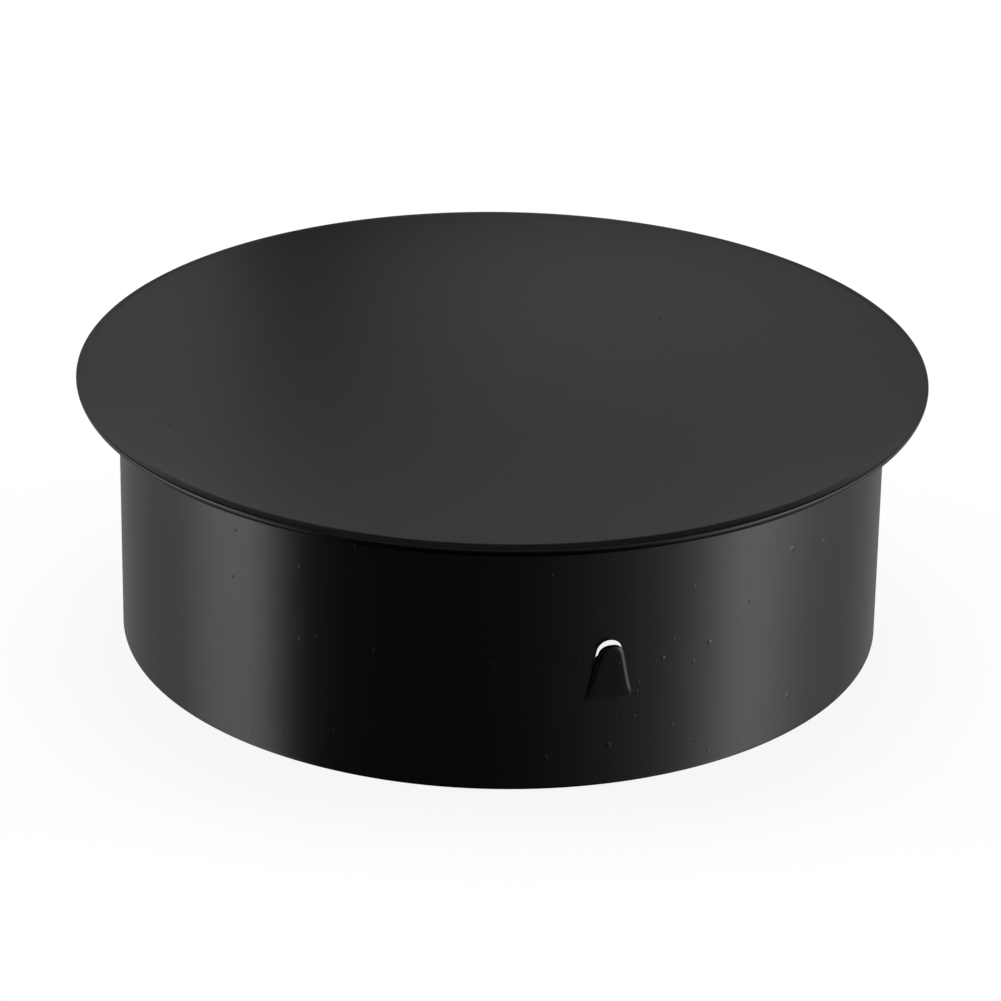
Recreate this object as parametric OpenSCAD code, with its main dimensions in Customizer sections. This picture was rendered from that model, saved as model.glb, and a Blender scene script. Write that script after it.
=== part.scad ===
// Cover for a round chimney or flue hole, made of two pieces of sheet steel.
// A flat disc has its edge folded down and back under the flange of a short
// collar, and sprung tongues cut from the collar grip the inside of the flue.
// The axis is Z, the collar's open end lies at Z = 0, and the front faces -Y.

/* [Collar] */
// Outside diameter of the collar, a little under the bore of the flue
collar_d = 119; // [79:0.5:249]
// Height of the cover, from the collar's open end to the top of the disc
cover_h = 42.5; // [32:0.5:80]
// Thickness of the collar's sheet
collar_sheet = 0.6; // [0.4:0.05:0.9]
// Radius on the hollow side of the bend from the wall to the flange
flange_bend_r = 0.6; // [0.3:0.1:1.2]
// Gap between the edge of the flange and the inside of the fold
flange_gap = 0.2; // [0.1:0.05:0.6]

/* [Disc] */
// How far the disc's rim stands out past the collar
rim_w = 6.5; // [4.5:0.1:20]
// Thickness of the disc's sheet
disc_sheet = 0.6; // [0.4:0.05:0.9]
// Gap under the rim between the folded edge and the bend of the collar
hem_gap = 1.4; // [0.5:0.1:2]

/* [Sprung tongues] */
// Number of tongues around the collar
tongue_count = 3; // [2:1:6]
// Direction of the first tongue, in degrees from the front towards the right
tongue_angle = 15.9; // [0:0.1:60]
// Height of a tongue's root above the open end
tongue_root_h = 14.2; // [6:0.1:20]
// Length of a tongue along the sheet, from its root to its tip
tongue_len = 9.5; // [6:0.1:14]
// Width of a tongue at its root
tongue_w = 7.3; // [5:0.1:12]
// Radius of a tongue's rounded tip
tongue_tip_r = 1.9; // [1:0.1:2.4]
// Lean of a tongue out of the wall, in degrees
tongue_lean = 10; // [4:0.5:20]
// Radius on the hollow side of the bend at a tongue's root
tongue_bend_r = 2; // [0.5:0.1:4]
// Width of the slit around a tongue
slit_w = 0.1; // [0.1:0.05:0.5]

/* [Weld seam] */
// Width of the weld that closes the rolled collar
weld_w = 2.4; // [1.5:0.1:4]
// Height of the weld's bead above the sheet, inside and outside
weld_h = 0.15; // [0.1:0.05:0.3]
// How far the bead stops short of the bend to the flange
weld_stop = 1; // [0.5:0.1:3]

/* [Hidden] */

// Roundness of everything that turns about the axis, and of small radii
$fn = 180;
small_fn = 48;

collar_r = collar_d / 2;
bore_r = collar_r - collar_sheet;
disc_r = collar_r + rim_w;

// The fold wraps the flange, so its hollow is as high as the flange is thick
fold_in_r = collar_sheet / 2;
fold_out_r = fold_in_r + disc_sheet;
fold_axis_r = disc_r - fold_out_r;
hem_edge_r = collar_r + flange_bend_r + hem_gap;
flange_top_z = cover_h - disc_sheet;
flange_under_z = flange_top_z - collar_sheet;
flange_edge_r = fold_axis_r - flange_gap;

// Centre of the bend between the wall and the flange, in the section
bend_axis_r = collar_r + flange_bend_r;
bend_axis_z = flange_under_z - flange_bend_r;

tongue_pitch = 360 / tongue_count;
weld_angle = tongue_angle + tongue_pitch * (floor(tongue_count / 2) + 0.5);

// Sheet length that the bend at a tongue's root takes up, and what is left straight
root_bend_len = (tongue_bend_r + collar_sheet / 2) * tongue_lean * PI / 180;
tongue_straight = tongue_len - root_bend_len;
// Steps of the bend at a tongue's root and of its round tip
root_bend_steps = 4;
tip_steps = 16;
// How far a tongue's solid reaches down into the wall that carries it
root_lap = 1;
// Spare reach of the shapes that cut or trim
over = 1;

// Radius of the weld's bead, from its width and height, and its length
bead_r = (weld_w * weld_w / 4 + weld_h * weld_h) / (2 * weld_h);
bead_len = bend_axis_z - weld_stop;

// Section of the fold at the disc's edge: the outer half of a ring
module fold_section() {
    intersection() {
        difference() {
            circle(r = fold_out_r, $fn = small_fn);
            circle(r = fold_in_r, $fn = small_fn);
        }
        translate([0, -fold_out_r]) square([fold_out_r, 2 * fold_out_r]);
    }
}

// Section of the disc: the flat sheet, the fold and the layer under the flange
module disc_section() {
    translate([0, flange_top_z]) square([fold_axis_r, disc_sheet]);
    translate([fold_axis_r, flange_top_z - fold_in_r]) fold_section();
    translate([hem_edge_r, flange_under_z - disc_sheet])
        square([fold_axis_r - hem_edge_r, disc_sheet]);
}

module cover_disc() {
    color("#2b2b2d") rotate_extrude() disc_section();
}

// Section of the bend that turns the wall out into the flange
module flange_bend_section() {
    bend_out_r = flange_bend_r + collar_sheet;
    translate([bend_axis_r, bend_axis_z]) intersection() {
        difference() {
            circle(r = bend_out_r, $fn = small_fn);
            circle(r = flange_bend_r, $fn = small_fn);
        }
        translate([-bend_out_r, 0]) square(bend_out_r);
    }
}

// Section of the collar: the wall, the bend and the flange
module collar_section() {
    translate([bore_r, 0]) square([collar_sheet, bend_axis_z]);
    flange_bend_section();
    translate([bend_axis_r, flange_under_z])
        square([flange_edge_r - bend_axis_r, collar_sheet]);
}

// Points of an arc about the centre c, from the angle a to the angle b
function arc(c, r, a, b, steps) = [
    for (i = [0 : steps])
        let (t = a + (b - a) * i / steps)
            [c[0] + r * cos(t), c[1] + r * sin(t)]
];

// Section of a tongue: a lap in the wall, the bend at the root and the straight part
module tongue_section() {
    bend_axis = [collar_r + tongue_bend_r, tongue_root_h];
    bend_out_r = tongue_bend_r + collar_sheet;
    end_angle = 180 - tongue_lean;
    reach = (tongue_straight + over) * [sin(tongue_lean), cos(tongue_lean)];
    outer = arc(bend_axis, tongue_bend_r, 180, end_angle, root_bend_steps);
    inner = arc(bend_axis, bend_out_r, end_angle, 180, root_bend_steps);
    polygon(concat(
        [[bore_r, tongue_root_h - root_lap], [collar_r, tongue_root_h - root_lap]],
        outer,
        [outer[root_bend_steps] + reach, inner[0] + reach],
        inner
    ));
}

// Flat outline of a tongue with its root on the X axis: tapered sides that run
// into a round tip. It is grown by grow all round, and its sides go on to below.
module tongue_outline(grow, below) {
    half_w = tongue_w / 2 + grow;
    tip_r = tongue_tip_r + grow;
    tip_y = tongue_len - tongue_tip_r;
    side_angle = acos(tip_r / norm([half_w, tip_y])) - atan2(tip_y, half_w);
    base_x = half_w + below * tan(side_angle);
    polygon(concat(
        [[-base_x, -below], [base_x, -below]],
        arc([0, tip_y], tip_r, side_angle, 180 - side_angle, tip_steps)
    ));
}

// Puts a child that stands in the X-Z plane on the wall at each tongue
module at_tongues() {
    for (i = [0 : tongue_count - 1])
        rotate(tongue_angle + i * tongue_pitch)
            translate([0, -collar_r, tongue_root_h]) children();
}

// Openings left in the wall by the tongues and their slits
module tongue_windows() {
    at_tongues() translate([0, collar_sheet + over, 0])
        rotate([90, 0, 0]) linear_extrude(collar_sheet + 2 * over)
            tongue_outline(slit_w, 0);
}

// Blanks that trim the leaning skirt to the outline of each tongue
module tongue_blanks() {
    at_tongues() translate([0, -tongue_bend_r, 0]) rotate([tongue_lean, 0, 0])
        translate([0, tongue_bend_r + collar_sheet + over, -root_bend_len])
            rotate([90, 0, 0]) linear_extrude(collar_sheet + 2 * over)
                tongue_outline(0, root_lap / 2);
}

module tongues() {
    intersection() {
        rotate_extrude() tongue_section();
        tongue_blanks();
    }
}

// Lens of weld metal through the wall, which stands out as a bead on both faces
module weld_bead() {
    rotate(weld_angle) intersection() {
        translate([0, bead_r - collar_r - weld_h, 0])
            cylinder(r = bead_r, h = bead_len);
        translate([0, weld_h - bead_r - bore_r, 0])
            cylinder(r = bead_r, h = bead_len);
    }
}

module collar() {
    color("#1d1d1f") {
        difference() {
            rotate_extrude() collar_section();
            tongue_windows();
        }
        tongues();
        weld_bead();
    }
}

cover_disc();
collar();
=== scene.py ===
"""Looks of the chimney hole cover: a folded sheet-steel disc on a short collar
with sprung tongues, in satin black paint. Shapes are written in millimetres. Lamps,
the camera and places in materials are in metres, in the frame of the part."""

import math

import bpy
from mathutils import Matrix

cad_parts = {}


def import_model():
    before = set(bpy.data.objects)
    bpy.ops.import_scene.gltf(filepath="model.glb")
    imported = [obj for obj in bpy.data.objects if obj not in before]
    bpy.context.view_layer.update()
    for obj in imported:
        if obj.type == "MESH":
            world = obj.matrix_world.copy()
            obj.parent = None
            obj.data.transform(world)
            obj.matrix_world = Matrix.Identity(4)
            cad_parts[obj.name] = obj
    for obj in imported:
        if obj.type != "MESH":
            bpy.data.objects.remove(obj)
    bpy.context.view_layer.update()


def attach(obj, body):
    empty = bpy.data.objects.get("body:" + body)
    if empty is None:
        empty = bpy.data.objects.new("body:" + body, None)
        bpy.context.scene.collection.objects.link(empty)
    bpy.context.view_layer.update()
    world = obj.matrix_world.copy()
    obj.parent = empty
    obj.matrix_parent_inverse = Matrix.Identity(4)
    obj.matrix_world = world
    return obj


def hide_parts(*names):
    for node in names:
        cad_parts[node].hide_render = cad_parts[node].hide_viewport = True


MM = 0.001

# Sizes of the sheet parts, as in the construction source, in millimetres
DISC_R = 66.0
COLLAR_R = 59.5
SHEET = 0.6
TOP_Z = 42.5
HEM_Z = 40.7
HEM_EDGE_R = 61.5
BEND_R = 0.6
FLANGE_EDGE_R = 64.9
TONGUE_ANGLES = (15.9, 135.9, 255.9)
TONGUE_ROOT_Z = 14.2
TONGUE_LEN = 9.5
TONGUE_HALF_W = 3.65
TONGUE_TIP_R = 1.9
TONGUE_LEAN = math.radians(10)
TONGUE_BEND_R = 2.0
SLIT = 0.1
WELD_ANGLE = 195.9
WELD_HALF_W = 1.2
WELD_H = 0.15

# Finer shape of the pressed sheet, in millimetres and degrees. The disc's face falls
# a little from one radius to the next, where the roll of its rim starts
CROWN_START_R = 59.0
CROWN_END_R = 64.35
CROWN_DROP = 0.04
FACE_RADII = [0, 8, 16, 24, 32, 38, 43, 48, 52, 55, 57.5, 59, 60, 61, 61.9, 62.7, 63.5]
# The roll bends over a short width into a slope, which ends in a small lip
ROLL_START_W = 0.35
ROLL_START_SLOPE = 0.86
ROLL_SLOPE = 8.0
ROLL_STEPS = 8
LIP_R = 0.3
LIP_TURN = -10
# Below the lip the fold goes on as a wider arc and runs out into the flat hem
LIP_LOW_R = 1.6
LIP_LOW_TURN = -68
HEM_RUN_OUT = [(64.2, HEM_Z + 0.01), (63.4, HEM_Z)]
FOLD_INSIDE_R = 65.2
UNDER_RADII = [58.0, 30.0, 0.0]
EDGE_ROUND = 0.12
# The flange stays clear of the disc by this play, and is flat from here outwards
FLANGE_PLAY = 0.02
FLANGE_FLAT_FROM = 0.3
# The shears curl a tongue's sides inwards, less at the tip, and shorten the tip
CURL_WIDTH = 0.6
CURL_OUTSIDE = 0.28
CURL_INSIDE = 0.8
CURL_INSIDE_TIP = 0.3
CURL_FADE = 3.0
TIP_FROM = 6.9
TIP_FADE = 0.8
TIP_WEAR = 0.12
TONGUE_INSETS = [0.0, 0.06, 0.14, 0.24, 0.34, 0.44, 0.52, 0.58, 0.64, 0.9, 1.3]
# The weld's bead ends below the flange's bend, and has curved ripples
WELD_TOP_Z = HEM_Z - 1.6
RIPPLE_PITCH = 1.1
RIPPLE_BOW = 0.35
RIPPLE_SHARE = 0.2

# How finely the skins are divided, in degrees and in rows
DISC_COLUMN = 1.5
COLLAR_COLUMN = 2.0
TONGUE_CLEAR = 4.2
TONGUE_BESIDE = 3.9
WELD_CLEAR = 1.6
WELD_COLUMN = 0.22
WELD_COLUMNS = 6
LOWER_ROWS = 24
UPPER_ROWS = 44
OUTLINE_STEPS = 18

# Paint: scales are per metre and heights in metres. A nib's radius is a share of
# its size that starts at the first number and gains up to the second
PAINT_COLOUR = (0.0035, 0.0035, 0.0036, 1)
PAINT_ROUGHNESS = 0.24
PAINT_IOR = 1.5
WAVE = {"scale": 90, "detail": 1, "height": 0.00006}
PEEL = {"scale": 800, "detail": 2, "height": 0.000005}
SMALL_NIBS = {"per_metre": 330, "size": 0.00025}
LARGE_NIBS = {"per_metre": 120, "size": 0.0005}
NIB_HEIGHT = 0.00006
NIB_RADIUS = (0.5, 0.7)
NIB_SHARE_DISC = 0.03
NIB_SHARE_COLLAR = 0.2

# Floor and world: their plain light, and what is added where they are seen directly
FLOOR_COLOUR = (0.14, 0.14, 0.14, 1)
FLOOR_GLOW = 0.88
FLOOR_SIZE = 4000
WORLD_LIGHT = 0.2
WORLD_SEEN = 0.8

# Cards all round: how bright they are by azimuth, from -180 to 180 with 0 at the
# front, below table level and above it
CARDS_BELOW = [
    (-180, 0.15), (-144, 0.15), (-121, 0.18), (-106, 0.26), (-94, 0.6), (-84, 0.84),
    (-77, 0.96), (-72, 0.76), (-66, 0.28), (-60, 0.024), (-12, 0.024), (10, 0.036),
    (27, 0.082), (45, 0.17), (55, 0.31), (64, 0.6), (73, 1.05), (80, 1.0), (88, 0.72),
    (96, 0.48), (106, 0.3), (121, 0.19), (143, 0.16), (180, 0.15)]
CARDS_ABOVE = [
    (-180, 0.9), (-110, 1.0), (-70, 0.9), (-20, 0.75), (20, 0.75), (70, 1.0),
    (110, 1.0), (180, 0.9)]
# The same by height in metres: above the cards' foot for the part below table
# level, and above the table for the part over it
CARDS_FOOT = 0.9
CARDS_BY_DEPTH = [
    (0.0, 0.2), (0.05, 0.21), (0.28, 0.4), (0.45, 0.4), (0.58, 0.47), (0.72, 0.9),
    (0.9, 1.0)]
CARDS_BY_HEIGHT = [
    (0.0, 0.1), (0.2, 0.2), (0.5, 0.25), (0.62, 0.2), (0.72, 0.03), (0.9, 0.015),
    (1.22, 0.015), (1.31, 0.09), (1.4, 0.12)]
# Heights are scaled by this to fit a ramp, which goes from 0 to 1
HEIGHT_TO_RAMP = 0.7
CARDS_BELOW_GAIN = 2.2
CARDS_STRENGTH = 2.0
# The two parts pass into each other over this height. Below table level the cards
# are dark within the first radius about the axis and fully lit from the second
CARDS_BLEND = 0.2
CARDS_MIDDLE = (0.4, 0.9)
CARDS_MIDDLE_LEVEL = 0.02
# Radius and height of the cards' rings, in millimetres
CARD_RINGS = [
    (0, -900), (450, -900), (900, -900), (900, -600), (900, -400), (900, -200), (900, 0),
    (900, 200), (900, 400), (900, 600), (900, 900), (450, 1300), (0, 1400)]
RING_STEPS = 72

# Back card: how bright it is by X at its foot and at its head, and by height
BACK_FOOT = [
    (-0.25, 0.5), (-0.1, 0.6), (-0.065, 0.74), (-0.055, 0.7), (-0.046, 0.34),
    (-0.037, 0.26), (-0.022, 0.52), (0.0, 0.77), (0.02, 0.84), (0.045, 0.77),
    (0.07, 0.64), (0.1, 0.52), (0.25, 0.4)]
BACK_HEAD = [
    (-0.25, 0.65), (-0.08, 0.72), (-0.06, 0.72), (-0.045, 0.53), (-0.035, 0.46),
    (-0.01, 0.46), (0.02, 0.47), (0.04, 0.51), (0.055, 0.61), (0.08, 0.63), (0.25, 0.6)]
BACK_BY_HEIGHT = [
    (0.05, 0.05), (0.075, 0.13), (0.083, 0.2), (0.09, 0.325), (0.1, 0.315),
    (0.11, 0.32), (0.12, 0.31), (0.13, 0.295), (0.14, 0.3), (0.149, 0.45), (0.155, 1.0),
    (0.168, 1.0), (0.1735, 0.5), (0.179, 0.03), (0.2, 0.01), (0.26, 0.004)]
BACK_BLEND = (0.095, 0.135)
BACK_TO_RAMP = 2.0
BACK_STRENGTH = 1.6
BACK_CORNERS = [(-250, 160, 43), (250, 160, 43), (250, 160, 270), (-250, 160, 270)]

# Lamps: name, azimuth, elevation, width and power, all at one metre from the part
LAMPS = [
    ("softbox_left", -100, 35, 0.5, 3.5),
    ("softbox_right", 100, 35, 0.5, 3.5),
    ("softbox_top", 180, 75, 0.6, 4.5)]
LAMP_DISTANCE = 1.0
LAMP_AIM_Z = 0.02

# Camera: focal length and sensor in millimetres, place in metres, turn in degrees
LENS = 170.44
SENSOR = 36
CAMERA_PLACE = (0, -0.67603, 0.3333)
CAMERA_TURN = (65.0913, -0.8177, 0.3792)


def arc(cx, cz, r, start, end, steps):
    """Points of an arc in the section, from one angle to the other, in degrees."""
    points = []
    for i in range(steps + 1):
        t = math.radians(start + (end - start) * i / steps)
        points.append((cx + r * math.cos(t), cz + r * math.sin(t)))
    return points


def make_object(name, verts, faces, sharp_deg=32):
    """A smooth-shaded mesh object from points in millimetres."""
    mesh = bpy.data.meshes.new(name)
    mesh.from_pydata([tuple(c * MM for c in v) for v in verts], [], faces)
    mesh.validate()
    mesh.shade_smooth()
    mesh.set_sharp_from_angle(angle=math.radians(sharp_deg))
    obj = bpy.data.objects.new(name, mesh)
    bpy.context.scene.collection.objects.link(obj)
    return obj


def on_axis(radius, azimuth, z):
    """Point at a distance from the axis. Azimuth 0 is the front and 90 the right."""
    a = math.radians(azimuth)
    return (radius * math.sin(a), -radius * math.cos(a), z)


# Disc: pressed slightly hollow towards its edge, then folded under the flange

def crown(r):
    """How far the face lies below the top at a distance from the axis."""
    if r <= CROWN_START_R:
        return 0.0
    t = (r - CROWN_START_R) / (CROWN_END_R - CROWN_START_R)
    return CROWN_DROP * t * t


def disc_profile():
    """Closed section of the disc from the axis on top to the axis below."""
    edge_top = TOP_Z - CROWN_DROP
    top = [(r, TOP_Z - crown(r)) for r in FACE_RADII + [CROWN_END_R]]
    slope = math.tan(math.radians(ROLL_SLOPE))
    start = math.tan(math.radians(ROLL_START_SLOPE))
    step = ROLL_START_W / ROLL_STEPS
    roll = []
    r, z = CROWN_END_R, edge_top
    for i in range(ROLL_STEPS):
        z -= step * (start + (slope - start) * (i + 0.5) / ROLL_STEPS)
        r += step
        roll.append((r, z))
    lip_r = DISC_R - LIP_R
    slope_end = lip_r + LIP_R * math.sin(math.radians(ROLL_SLOPE))
    z -= (slope_end - r) * slope
    lip_z = z - LIP_R * math.cos(math.radians(ROLL_SLOPE))
    roll += arc(lip_r, lip_z, LIP_R, 90 - ROLL_SLOPE, LIP_TURN, 22)
    turn = math.radians(LIP_TURN)
    low_r = lip_r + (LIP_R - LIP_LOW_R) * math.cos(turn)
    low_z = lip_z + (LIP_R - LIP_LOW_R) * math.sin(turn)
    low = arc(low_r, low_z, LIP_LOW_R, LIP_TURN, LIP_LOW_TURN, 18)[1:] + HEM_RUN_OUT
    high = HEM_Z + SHEET
    edge_r = HEM_EDGE_R + EDGE_ROUND
    edge = arc(edge_r, HEM_Z + EDGE_ROUND, EDGE_ROUND, 270, 180, 3)
    edge += arc(edge_r, high - EDGE_ROUND, EDGE_ROUND, 180, 90, 3)
    inner = [(FOLD_INSIDE_R, high), (FOLD_INSIDE_R, edge_top - SHEET)]
    under = [(r, TOP_Z - SHEET) for r in UNDER_RADII]
    return top + roll + low + edge + inner + under


def revolve(name, profile, columns):
    """Turns an open section whose ends lie on the axis into a closed solid."""
    rings = profile[1:-1]
    verts = [(0, 0, profile[0][1])]
    for azimuth in columns:
        verts += [on_axis(r, azimuth, z) for r, z in rings]
    verts.append((0, 0, profile[-1][1]))
    n = len(rings)
    last = len(verts) - 1
    faces = []
    for i in range(len(columns)):
        a = 1 + i * n
        b = 1 + ((i + 1) % len(columns)) * n
        faces.append((0, a, b))
        for k in range(n - 1):
            faces.append((a + k, a + k + 1, b + k + 1, b + k))
        faces.append((last, b + n - 1, a + n - 1))
    return make_object(name, verts, faces)


# Collar: wall, flange, weld seam, and the openings left by the tongues

def tongue_outline(grow):
    """Half outline of a tongue as (half width, length along the sheet) points."""
    half_w = TONGUE_HALF_W + grow
    tip_r = TONGUE_TIP_R + grow
    tip_y = TONGUE_LEN - TONGUE_TIP_R
    side = math.acos(tip_r / math.hypot(half_w, tip_y)) - math.atan2(tip_y, half_w)
    side_x = tip_r * math.cos(side)
    side_y = tip_y + tip_r * math.sin(side)
    points = []
    for i in range(OUTLINE_STEPS):
        t = i / OUTLINE_STEPS
        points.append((half_w + (side_x - half_w) * t, side_y * t))
    for i in range(OUTLINE_STEPS + 1):
        t = side + (math.pi / 2 - side) * i / OUTLINE_STEPS
        points.append((tip_r * math.cos(t), tip_y + tip_r * math.sin(t)))
    return points


WINDOW = tongue_outline(SLIT)


def window_top(offset):
    """Height of a tongue's opening above its root, at a sideways offset."""
    x = abs(offset)
    if x >= WINDOW[0][0]:
        return 0.0
    for (x0, y0), (x1, y1) in zip(WINDOW, WINDOW[1:]):
        if x1 <= x <= x0:
            return y0 + (y1 - y0) * (x0 - x) / max(x0 - x1, 1e-9)
    return WINDOW[-1][1]


def collar_columns():
    """Azimuths of the collar's columns, closer together at the tongues and the weld."""
    columns = {round(COLLAR_COLUMN * i, 4) for i in range(round(360 / COLLAR_COLUMN))}
    for centre in TONGUE_ANGLES:
        columns = {c for c in columns if abs(c - centre) > TONGUE_CLEAR}
        steps = [math.degrees(math.asin(x / COLLAR_R)) for x, _ in WINDOW]
        for step in steps + [TONGUE_BESIDE]:
            columns |= {round(centre - step, 4), round(centre + step, 4)}
    columns = {c for c in columns if abs(c - WELD_ANGLE) > WELD_CLEAR}
    for i in range(-WELD_COLUMNS, WELD_COLUMNS + 1):
        columns.add(round(WELD_ANGLE + WELD_COLUMN * i, 4))
    return sorted(columns)


def weld_rise(azimuth, z):
    """Height of the weld's bead above the sheet, with its ripples."""
    x = math.radians(azimuth - WELD_ANGLE) * COLLAR_R
    if abs(x) >= WELD_HALF_W or z > WELD_TOP_Z:
        return 0.0
    bow = 1 - (x / WELD_HALF_W) ** 2
    place = z / RIPPLE_PITCH + RIPPLE_BOW * (x / WELD_HALF_W) ** 2
    ripple = 0.5 + 0.5 * math.cos(2 * math.pi * place)
    return WELD_H * bow * ((1 - RIPPLE_SHARE) + RIPPLE_SHARE * ripple)


def tongue_offset(azimuth):
    """Sideways offset from the nearest tongue's middle, or None where there is none."""
    for centre in TONGUE_ANGLES:
        if abs(azimuth - centre) <= TONGUE_CLEAR:
            return COLLAR_R * math.sin(math.radians(azimuth - centre))
    return None


def collar_object():
    """The wall, its flange and its bead, as one closed skin with the openings."""
    bore_r = COLLAR_R - SHEET
    under = TOP_Z - 2 * SHEET
    bend_r = COLLAR_R + BEND_R
    bend_z = under - BEND_R
    flange_top = TOP_Z - SHEET - CROWN_DROP - FLANGE_PLAY
    lower_step = TONGUE_ROOT_Z - EDGE_ROUND
    lower_z = [EDGE_ROUND + i * lower_step / LOWER_ROWS for i in range(LOWER_ROWS + 1)]
    upper_t = [i / UPPER_ROWS for i in range(UPPER_ROWS + 1)]
    columns = collar_columns()
    verts, lower, upper = [], [], []

    def add(azimuth, r, z):
        verts.append(on_axis(r, azimuth, z))
        return len(verts) - 1

    for azimuth in columns:
        offset = tongue_offset(azimuth)
        gap_z = TONGUE_ROOT_Z + (0.0 if offset is None else window_top(offset))
        chain = []
        for z in reversed(lower_z):
            chain.append(add(azimuth, COLLAR_R + weld_rise(azimuth, z), z))
        for r, z in arc(COLLAR_R - EDGE_ROUND, EDGE_ROUND, EDGE_ROUND, 0, -90, 4)[1:]:
            chain.append(add(azimuth, r, z))
        for r, z in arc(bore_r + EDGE_ROUND, EDGE_ROUND, EDGE_ROUND, 270, 180, 4)[:-1]:
            chain.append(add(azimuth, r, z))
        for z in lower_z:
            chain.append(add(azimuth, bore_r - weld_rise(azimuth, z), z))
        lower.append(chain)
        open_here = gap_z > TONGUE_ROOT_Z + 1e-6
        chain = []
        for t in upper_t:
            z = gap_z + (bend_z - gap_z) * t
            if t == 0 and not open_here:
                chain.append(lower[-1][0])
            else:
                chain.append(add(azimuth, COLLAR_R + weld_rise(azimuth, z), z))
        for r, z in arc(bend_r, bend_z, BEND_R, 180, 90, 6)[1:]:
            chain.append(add(azimuth, r, z))
        chain.append(add(azimuth, FLANGE_EDGE_R, under))
        chain.append(add(azimuth, FLANGE_EDGE_R, flange_top))
        chain.append(add(azimuth, bend_r + FLANGE_FLAT_FROM, flange_top))
        for r, z in arc(bend_r, bend_z, BEND_R + SHEET, 100, 180, 6)[:-1]:
            chain.append(add(azimuth, r, z))
        for t in reversed(upper_t):
            z = gap_z + (bend_z - gap_z) * t
            if t == 0 and not open_here:
                chain.append(lower[-1][-1])
            else:
                chain.append(add(azimuth, bore_r - weld_rise(azimuth, z), z))
        upper.append((chain, open_here))

    faces = []
    count = len(columns)
    for i in range(count):
        j = (i + 1) % count
        a, b = lower[i], lower[j]
        for k in range(len(a) - 1):
            faces.append((a[k], a[k + 1], b[k + 1], b[k]))
        (c, c_open), (d, d_open) = upper[i], upper[j]
        for k in range(len(c) - 1):
            faces.append((c[k + 1], c[k], d[k], d[k + 1]))
        if c_open or d_open:
            faces.append(tuple(dict.fromkeys((c[0], c[-1], d[-1], d[0]))))
            faces.append((a[-1], a[0], b[0], b[-1]))
    return make_object("collar_skin", verts, faces)


def smooth_step(t):
    """Goes from 0 to 1 with a soft start and end."""
    t = max(0.0, min(1.0, t))
    return t * t * (3 - 2 * t)


def tongue_point(centre, x, length, depth):
    """Point of a tongue: sideways offset, length along the sheet, depth into it."""
    turned = min(length / (TONGUE_BEND_R + SHEET / 2), TONGUE_LEAN)
    straight = length - turned * (TONGUE_BEND_R + SHEET / 2)
    out = TONGUE_BEND_R + depth
    r = COLLAR_R + TONGUE_BEND_R - out * math.cos(turned) + straight * math.sin(turned)
    z = TONGUE_ROOT_Z + out * math.sin(turned) + straight * math.cos(turned)
    return on_axis(r, centre + math.degrees(math.asin(x / r)), z)


def tongue_object(name, centre):
    """A tongue as a closed skin of loops that follow its outline at growing insets."""
    half = tongue_outline(0.0)
    outline = [(-x, y) for x, y in half] + [(x, y) for x, y in reversed(half[:-1])]
    normals = []
    for i in range(len(outline)):
        (x0, y0), (x1, y1) = outline[max(i - 1, 0)], outline[min(i + 1, len(outline) - 1)]
        size = math.hypot(x1 - x0, y1 - y0)
        normals.append(((y1 - y0) / size, -(x1 - x0) / size))
    verts, faces = [], []

    def loop(inset, outside):
        ids = []
        for (x, y), (nx, ny) in zip(outline, normals):
            px = x + inset * nx
            py = max(y + inset * ny, 0.0)
            at_tip = smooth_step((y - TIP_FROM) / TIP_FADE)
            py -= TIP_WEAR * at_tip
            inside = CURL_INSIDE + (CURL_INSIDE_TIP - CURL_INSIDE) * at_tip
            reach = CURL_OUTSIDE if outside else inside
            curl = reach * (1 - min(inset / CURL_WIDTH, 1.0)) ** 2
            curl *= abs(nx) * smooth_step(py / CURL_FADE)
            depth = curl if outside else SHEET + curl
            ids.append(len(verts))
            verts.append(tongue_point(centre, px, py, depth))
        return ids

    def band(a, b):
        for k in range(len(a) - 1):
            faces.append((a[k], a[k + 1], b[k + 1], b[k]))

    def fill(ring, outside):
        n = len(ring)
        for k in range(n // 2):
            quad = [ring[k], ring[n - 1 - k], ring[n - 2 - k], ring[k + 1]]
            quad = list(dict.fromkeys(quad))
            if len(quad) > 2:
                faces.append(tuple(quad if outside else reversed(quad)))

    outer = [loop(d, True) for d in TONGUE_INSETS]
    inner = [loop(d, False) for d in TONGUE_INSETS]
    for a, b in zip(outer, outer[1:]):
        band(b, a)
    for a, b in zip(inner, inner[1:]):
        band(a, b)
    band(outer[0], inner[0])
    fill(outer[-1], True)
    fill(inner[-1], False)
    return make_object(name, verts, faces, 40)


# Materials

def new_material(name):
    """A material without nodes, and its node tree."""
    material = bpy.data.materials.new(name)
    material.use_nodes = True
    tree = material.node_tree
    tree.nodes.clear()
    return material, tree


def finish(tree, shader, output="ShaderNodeOutputMaterial"):
    """Leads a shader to the output of its tree."""
    out = tree.nodes.new(output)
    tree.links.new(shader, out.inputs["Surface"])


def give(tree, socket, value):
    """Sets a socket to a number, or links another socket to it."""
    if isinstance(value, (int, float)):
        socket.default_value = value
    else:
        tree.links.new(value, socket)


def math_node(tree, operation, *inputs):
    node = tree.nodes.new("ShaderNodeMath")
    node.operation = operation
    for socket, value in zip(node.inputs, inputs):
        give(tree, socket, value)
    return node.outputs[0]


def vector_node(tree, operation, vector, slot, value):
    """A vector node that takes a second value in the named or numbered slot."""
    node = tree.nodes.new("ShaderNodeVectorMath")
    node.operation = operation
    tree.links.new(vector, node.inputs[0])
    tree.links.new(value, node.inputs[slot])
    return node.outputs[0]


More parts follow.
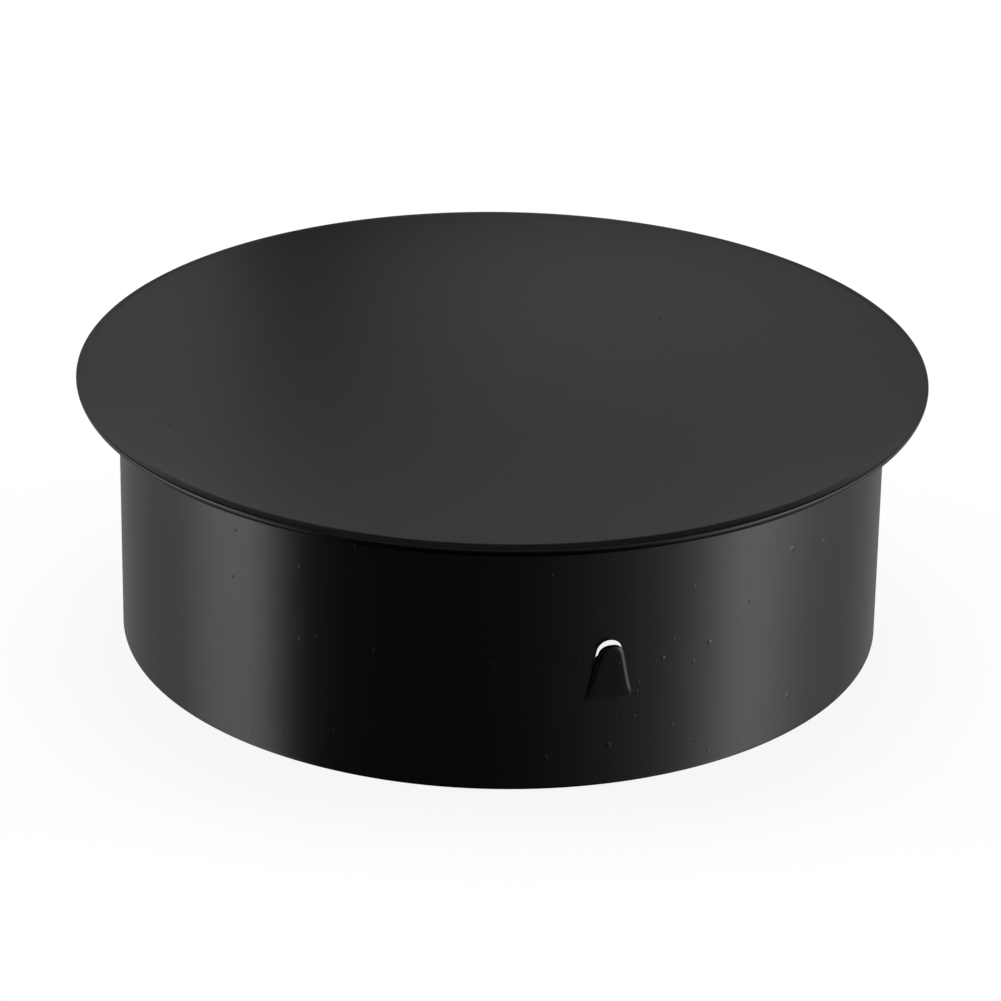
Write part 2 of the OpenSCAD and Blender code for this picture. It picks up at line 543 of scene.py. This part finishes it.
def map_range(tree, value, start, end, kind="LINEAR", to_min=0.0):
    """Goes from to_min to 1 as the value goes from start to end."""
    node = tree.nodes.new("ShaderNodeMapRange")
    node.interpolation_type = kind
    node.inputs["From Min"].default_value = start
    node.inputs["From Max"].default_value = end
    node.inputs["To Min"].default_value = to_min
    tree.links.new(value, node.inputs["Value"])
    return node.outputs["Result"]


def mix_vectors(tree, factor, first, second):
    """Mixes two colours as vectors, so that nothing is clamped."""
    node = tree.nodes.new("ShaderNodeMix")
    node.data_type = "VECTOR"
    tree.links.new(factor, node.inputs["Factor"])
    tree.links.new(first, node.inputs[4])
    tree.links.new(second, node.inputs[5])
    return node.outputs[1]


def split(tree, vector):
    apart = tree.nodes.new("ShaderNodeSeparateXYZ")
    tree.links.new(vector, apart.inputs[0])
    return apart.outputs


def azimuth_turn(tree, x, y):
    """Azimuth of a place in radians, 0 at the front and positive to the right."""
    return math_node(tree, "ARCTAN2", x, math_node(tree, "MULTIPLY", y, -1.0))


def flat_place(tree, round_wall):
    """Where a point lies on the unrolled wall, or on the flat disc, in metres."""
    x, y, z = split(tree, tree.nodes.new("ShaderNodeTexCoord").outputs["Object"])
    flat = tree.nodes.new("ShaderNodeCombineXYZ")
    if round_wall:
        along = math_node(tree, "MULTIPLY", azimuth_turn(tree, x, y), COLLAR_R * MM)
        tree.links.new(along, flat.inputs[0])
        tree.links.new(z, flat.inputs[1])
    else:
        tree.links.new(x, flat.inputs[0])
        tree.links.new(y, flat.inputs[1])
    return flat.outputs[0]


def nibs(tree, place, share, per_metre, size):
    """Height of small round nibs of dried paint, from 0 to 1, in a share of the cells."""
    cells = tree.nodes.new("ShaderNodeTexVoronoi")
    cells.voronoi_dimensions = "2D"
    cells.inputs["Scale"].default_value = per_metre
    tree.links.new(place, cells.inputs["Vector"])
    apart = tree.nodes.new("ShaderNodeSeparateColor")
    tree.links.new(cells.outputs["Color"], apart.inputs["Color"])
    chosen = math_node(tree, "GREATER_THAN", apart.outputs["Red"], 1 - share)
    least, gain = (part * size * per_metre for part in NIB_RADIUS)
    spread = math_node(tree, "MULTIPLY_ADD", apart.outputs["Green"], gain, least)
    away = math_node(tree, "DIVIDE", cells.outputs["Distance"], spread)
    dome = math_node(tree, "SUBTRACT", 1.0, math_node(tree, "MULTIPLY", away, away))
    return math_node(tree, "MULTIPLY", chosen, math_node(tree, "MAXIMUM", dome, 0.0))


def noise(tree, place, scale, detail):
    node = tree.nodes.new("ShaderNodeTexNoise")
    node.inputs["Scale"].default_value = scale
    node.inputs["Detail"].default_value = detail
    tree.links.new(place, node.inputs["Vector"])
    return node.outputs[0]


def bump(tree, height, depth, normal=None):
    node = tree.nodes.new("ShaderNodeBump")
    node.inputs["Strength"].default_value = 1.0
    node.inputs["Distance"].default_value = depth
    tree.links.new(height, node.inputs["Height"])
    if normal is not None:
        tree.links.new(normal, node.inputs["Normal"])
    return node.outputs["Normal"]


def black_paint(name, round_wall, nib_share):
    """Satin black paint: slow waves, a fine orange-peel skin and a few dried nibs."""
    material, tree = new_material(name)
    place = flat_place(tree, round_wall)
    normal = None
    for layer in (WAVE, PEEL):
        height = noise(tree, place, layer["scale"], layer["detail"])
        normal = bump(tree, height, layer["height"], normal)
    small = nibs(tree, place, nib_share, **SMALL_NIBS)
    large = nibs(tree, place, nib_share, **LARGE_NIBS)
    both = math_node(tree, "MULTIPLY_ADD", small, 0.5, large)
    shader = tree.nodes.new("ShaderNodeBsdfPrincipled")
    shader.inputs["Base Color"].default_value = PAINT_COLOUR
    shader.inputs["Roughness"].default_value = PAINT_ROUGHNESS
    shader.inputs["IOR"].default_value = PAINT_IOR
    tree.links.new(bump(tree, both, NIB_HEIGHT, normal), shader.inputs["Normal"])
    finish(tree, shader.outputs["BSDF"])
    return material


def seen_directly(tree):
    """1 for rays from the camera, from gloss and through glass, and 0 for the rest."""
    rays = tree.nodes.new("ShaderNodeLightPath").outputs
    seen = math_node(tree, "MAXIMUM", rays["Is Camera Ray"], rays["Is Glossy Ray"])
    return math_node(tree, "MAXIMUM", seen, rays["Is Transmission Ray"])


def emission(tree, colour, strength):
    """A glow: its colour is a plain one or a socket, and so is its strength."""
    glow = tree.nodes.new("ShaderNodeEmission")
    if isinstance(colour, tuple):
        glow.inputs["Color"].default_value = colour
    else:
        tree.links.new(colour, glow.inputs["Color"])
    give(tree, glow.inputs["Strength"], strength)
    return glow.outputs[0]


def floor_material():
    """Pale floor that looks white and keeps the object's shadow."""
    material, tree = new_material("floor_white")
    diffuse = tree.nodes.new("ShaderNodeBsdfDiffuse")
    diffuse.inputs["Color"].default_value = FLOOR_COLOUR
    level = math_node(tree, "MULTIPLY", seen_directly(tree), FLOOR_GLOW)
    both = tree.nodes.new("ShaderNodeAddShader")
    tree.links.new(diffuse.outputs[0], both.inputs[0])
    tree.links.new(emission(tree, (1, 1, 1, 1), level), both.inputs[1])
    finish(tree, both.outputs[0])
    return material


def ramp(tree, value, stops):
    """A grey ramp through the stops, each a place from 0 to 1 and a level."""
    node = tree.nodes.new("ShaderNodeValToRGB")
    node.color_ramp.interpolation = "LINEAR"
    elements = node.color_ramp.elements
    elements[0].position, elements[1].position = stops[0][0], stops[-1][0]
    for place, _ in stops[1:-1]:
        elements.new(place)
    for element, (_, level) in zip(elements, stops):
        element.color = (level, level, level, 1)
    tree.links.new(value, node.inputs[0])
    return node.outputs["Color"]


def cards_material():
    """Studio cards all round, which glow by their direction from the object."""
    material, tree = new_material("cards")
    x, y, z = split(tree, tree.nodes.new("ShaderNodeNewGeometry").outputs["Position"])
    turn = azimuth_turn(tree, x, y)
    turn = math_node(tree, "MULTIPLY_ADD", turn, 0.5 / math.pi, 0.5)
    below = ramp(tree, turn, [((a + 180) / 360, v) for a, v in CARDS_BELOW])
    above = ramp(tree, turn, [((a + 180) / 360, v) for a, v in CARDS_ABOVE])
    height = math_node(tree, "MULTIPLY", z, HEIGHT_TO_RAMP)
    lift = ramp(tree, height, [(HEIGHT_TO_RAMP * h, v) for h, v in CARDS_BY_HEIGHT])
    upper = vector_node(tree, "MULTIPLY", above, 1, lift)
    square = math_node(tree, "MULTIPLY_ADD", x, x, math_node(tree, "MULTIPLY", y, y))
    reach = math_node(tree, "SQRT", square)
    middle = map_range(tree, reach, *CARDS_MIDDLE, "SMOOTHSTEP", CARDS_MIDDLE_LEVEL)
    depth = ramp(tree, math_node(tree, "ADD", z, CARDS_FOOT), CARDS_BY_DEPTH)
    dim = math_node(tree, "MULTIPLY", middle, depth)
    dim = math_node(tree, "MULTIPLY", dim, CARDS_BELOW_GAIN)
    lower = vector_node(tree, "SCALE", below, "Scale", dim)
    part = map_range(tree, z, 0.0, CARDS_BLEND, "SMOOTHSTEP")
    finish(tree, emission(tree, mix_vectors(tree, part, lower, upper), CARDS_STRENGTH))
    return material


def back_card_material():
    """The card close behind the object, which glows by its place, in metres."""
    material, tree = new_material("back_card")
    x, _, z = split(tree, tree.nodes.new("ShaderNodeNewGeometry").outputs["Position"])
    along = math_node(tree, "MULTIPLY_ADD", x, BACK_TO_RAMP, 0.5)
    foot = ramp(tree, along, [(0.5 + BACK_TO_RAMP * c, v) for c, v in BACK_FOOT])
    head = ramp(tree, along, [(0.5 + BACK_TO_RAMP * c, v) for c, v in BACK_HEAD])
    sideways = mix_vectors(tree, map_range(tree, z, *BACK_BLEND), foot, head)
    height = math_node(tree, "MULTIPLY", z, BACK_TO_RAMP)
    upward = ramp(tree, height, [(BACK_TO_RAMP * c, v) for c, v in BACK_BY_HEIGHT])
    level = vector_node(tree, "MULTIPLY", sideways, 1, upward)
    finish(tree, emission(tree, level, BACK_STRENGTH))
    return material


# Studio: floor, cards, lamps, world and camera

def as_card(card, material):
    """A studio card, which only the object's gloss shows."""
    card.data.materials.append(material)
    card.visible_camera = False
    card.visible_shadow = False
    card.visible_diffuse = False
    return card


def ring_card(name, rings, material):
    """A round card about the axis through (radius, height) rings, in millimetres."""
    verts, faces = [], []
    for i in range(RING_STEPS):
        verts += [on_axis(r, 360 * i / RING_STEPS, z) for r, z in rings]
    n = len(rings)
    for i in range(RING_STEPS):
        a, b = i * n, ((i + 1) % RING_STEPS) * n
        for k in range(n - 1):
            faces.append((a + k, a + k + 1, b + k + 1, b + k))
    return as_card(make_object(name, verts, faces), material)


def studio():
    size = FLOOR_SIZE
    corners = [(-size, -size, 0), (size, -size, 0), (size, size, 0), (-size, size, 0)]
    floor = make_object("floor", corners, [(0, 1, 2, 3)])
    floor.data.materials.append(floor_material())
    floor.visible_glossy = False
    ring_card("cards", CARD_RINGS, cards_material())
    as_card(make_object("back_card", BACK_CORNERS, [(0, 1, 2, 3)]), back_card_material())


def area_light(name, azimuth, elevation, width, power):
    """A square lamp that faces the object, which doesn't show in its gloss."""
    data = bpy.data.lights.new(name, "AREA")
    data.shape = "RECTANGLE"
    data.size = data.size_y = width
    data.energy = power
    lamp = bpy.data.objects.new(name, data)
    rise = math.radians(elevation)
    x, y, _ = on_axis(LAMP_DISTANCE * math.cos(rise), azimuth, 0)
    lamp.location = (x, y, LAMP_AIM_Z + LAMP_DISTANCE * math.sin(rise))
    lamp.rotation_euler = (math.radians(90) - rise, 0, math.radians(azimuth))
    lamp.visible_glossy = False
    bpy.context.scene.collection.objects.link(lamp)


def world():
    """Plain dim light from all round, which is white where it is seen directly."""
    scene_world = bpy.data.worlds.new("studio")
    scene_world.use_nodes = True
    tree = scene_world.node_tree
    tree.nodes.clear()
    light = tree.nodes.new("ShaderNodeBackground")
    light.inputs["Color"].default_value = (1, 1, 1, 1)
    level = math_node(tree, "MULTIPLY_ADD", seen_directly(tree), WORLD_SEEN, WORLD_LIGHT)
    tree.links.new(level, light.inputs["Strength"])
    finish(tree, light.outputs[0], "ShaderNodeOutputWorld")
    bpy.context.scene.world = scene_world


def camera():
    data = bpy.data.cameras.new("camera")
    data.sensor_width = SENSOR
    data.lens = LENS
    data.clip_start, data.clip_end = 0.01, 50
    cam = bpy.data.objects.new("camera", data)
    cam.location = CAMERA_PLACE
    cam.rotation_euler = [math.radians(turn) for turn in CAMERA_TURN]
    bpy.context.scene.collection.objects.link(cam)
    bpy.context.scene.camera = cam


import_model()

columns = [DISC_COLUMN * i for i in range(round(360 / DISC_COLUMN))]
disc = revolve("cover_disc_skin", disc_profile(), columns)
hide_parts("cover_disc")
collar = collar_object()
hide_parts("collar")
tongues = []
for number, angle in enumerate(TONGUE_ANGLES, 1):
    tongues.append(tongue_object("tongue_%d" % number, angle))

disc.data.materials.append(black_paint("black_paint_disc", False, NIB_SHARE_DISC))
paint_collar = black_paint("black_paint_collar", True, NIB_SHARE_COLLAR)
for piece in [collar] + tongues:
    piece.data.materials.append(paint_collar)
for piece in [disc, collar] + tongues:
    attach(piece, "root")

studio()
for lamp in LAMPS:
    area_light(*lamp)
world()
camera()
bpy.context.scene.view_settings.view_transform = "Standard"
